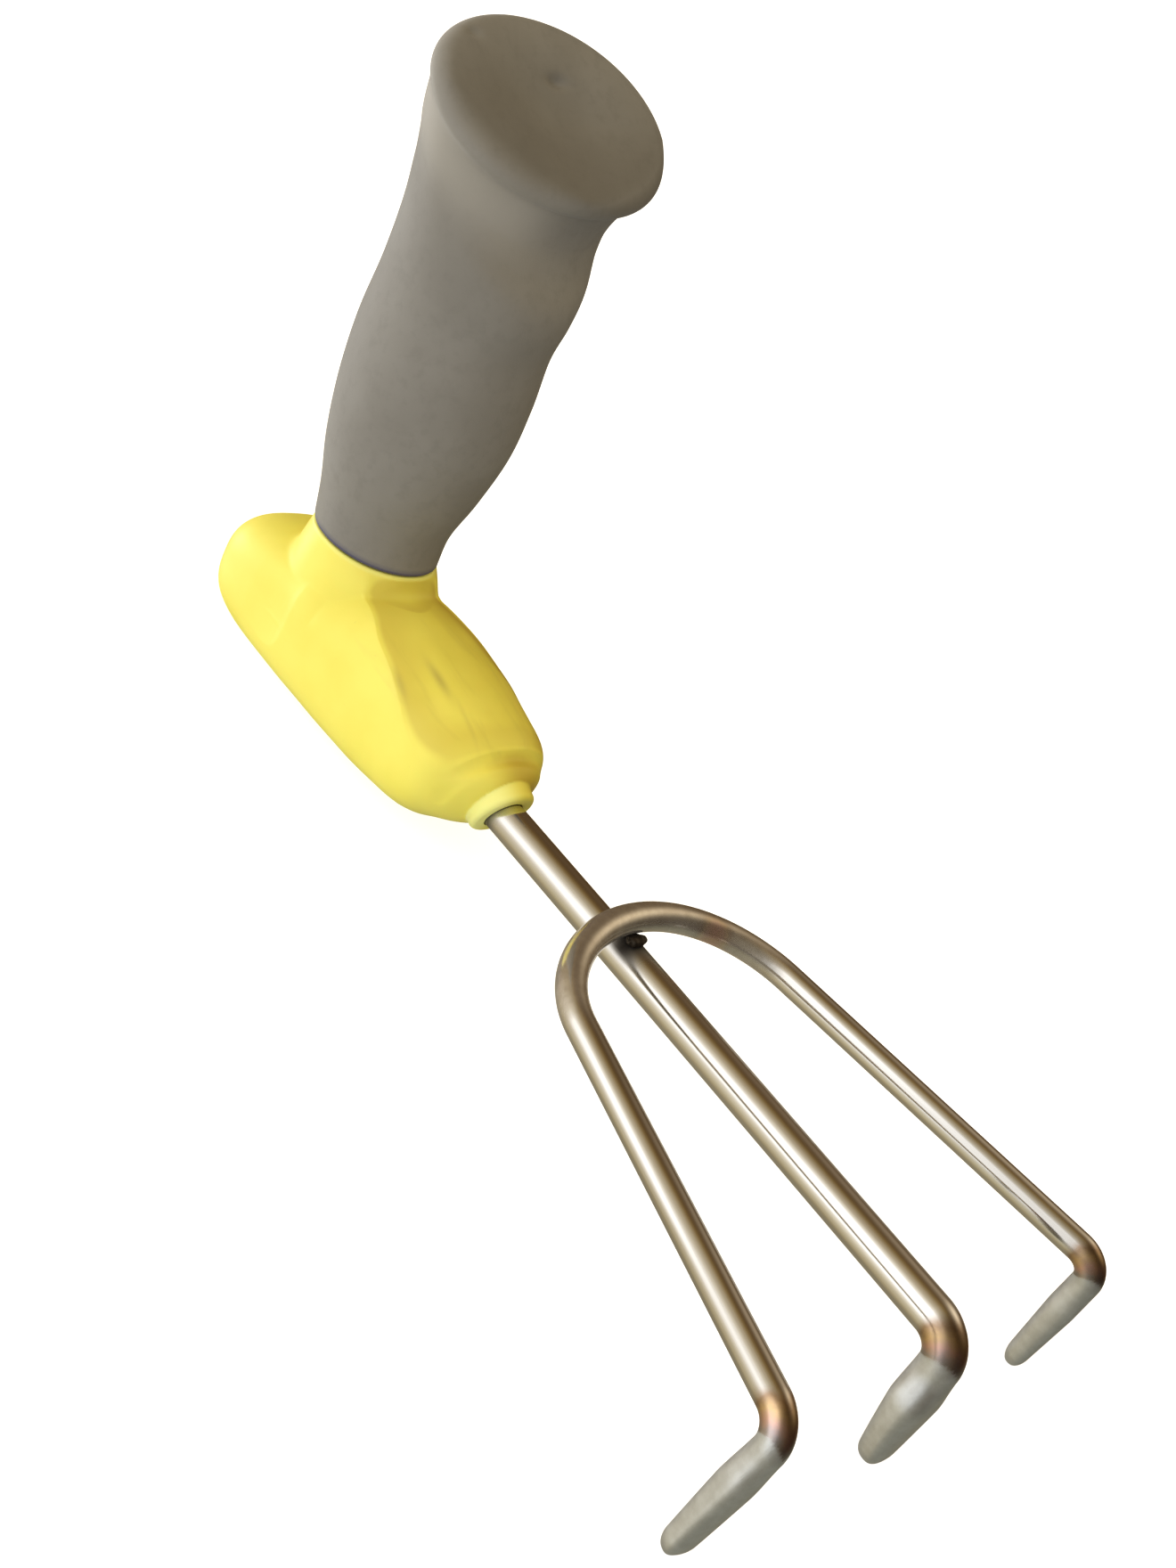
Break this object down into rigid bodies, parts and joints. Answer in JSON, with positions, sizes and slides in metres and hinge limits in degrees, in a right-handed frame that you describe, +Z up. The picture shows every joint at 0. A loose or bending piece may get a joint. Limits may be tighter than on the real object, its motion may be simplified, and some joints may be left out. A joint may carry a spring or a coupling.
{
  "type": "claw cultivator",
  "caption": "Short hand claw for loosening soil, with steel tines that turn down at their ends, a moulded handle body and an upright soft pistol grip.",
  "frame": {"origin": "middle of the tool's box at the level of the floor, with the tool resting on its outer tips and its heel", "axes": "+X along the tool towards the tips of the tines, +Y to the left of someone who holds it, +Z up along the grip"},
  "size_m": [0.2388, 0.1082, 0.1404],
  "materials": {
    "yellow_moulding": "satin moulded plastic in a warm lemon yellow, with a very fine moulded grain",
    "soft_grip": "matt soft-touch rubber in taupe grey",
    "polished_steel": "polished along the rods, and matt and lightly ground on the forged tips",
    "weld_metal": "dull weld bead, lightly brushed, and darkened by its own heat"
  },
  "bodies": {
    "root": {"handle_body": "yellow_moulding", "grip_sleeve": "soft_grip", "centre_tine": "polished_steel", "outer_tines": "polished_steel", "weld_front": "weld_metal", "weld_rear": "weld_metal"}
  },
  "joints": []
}
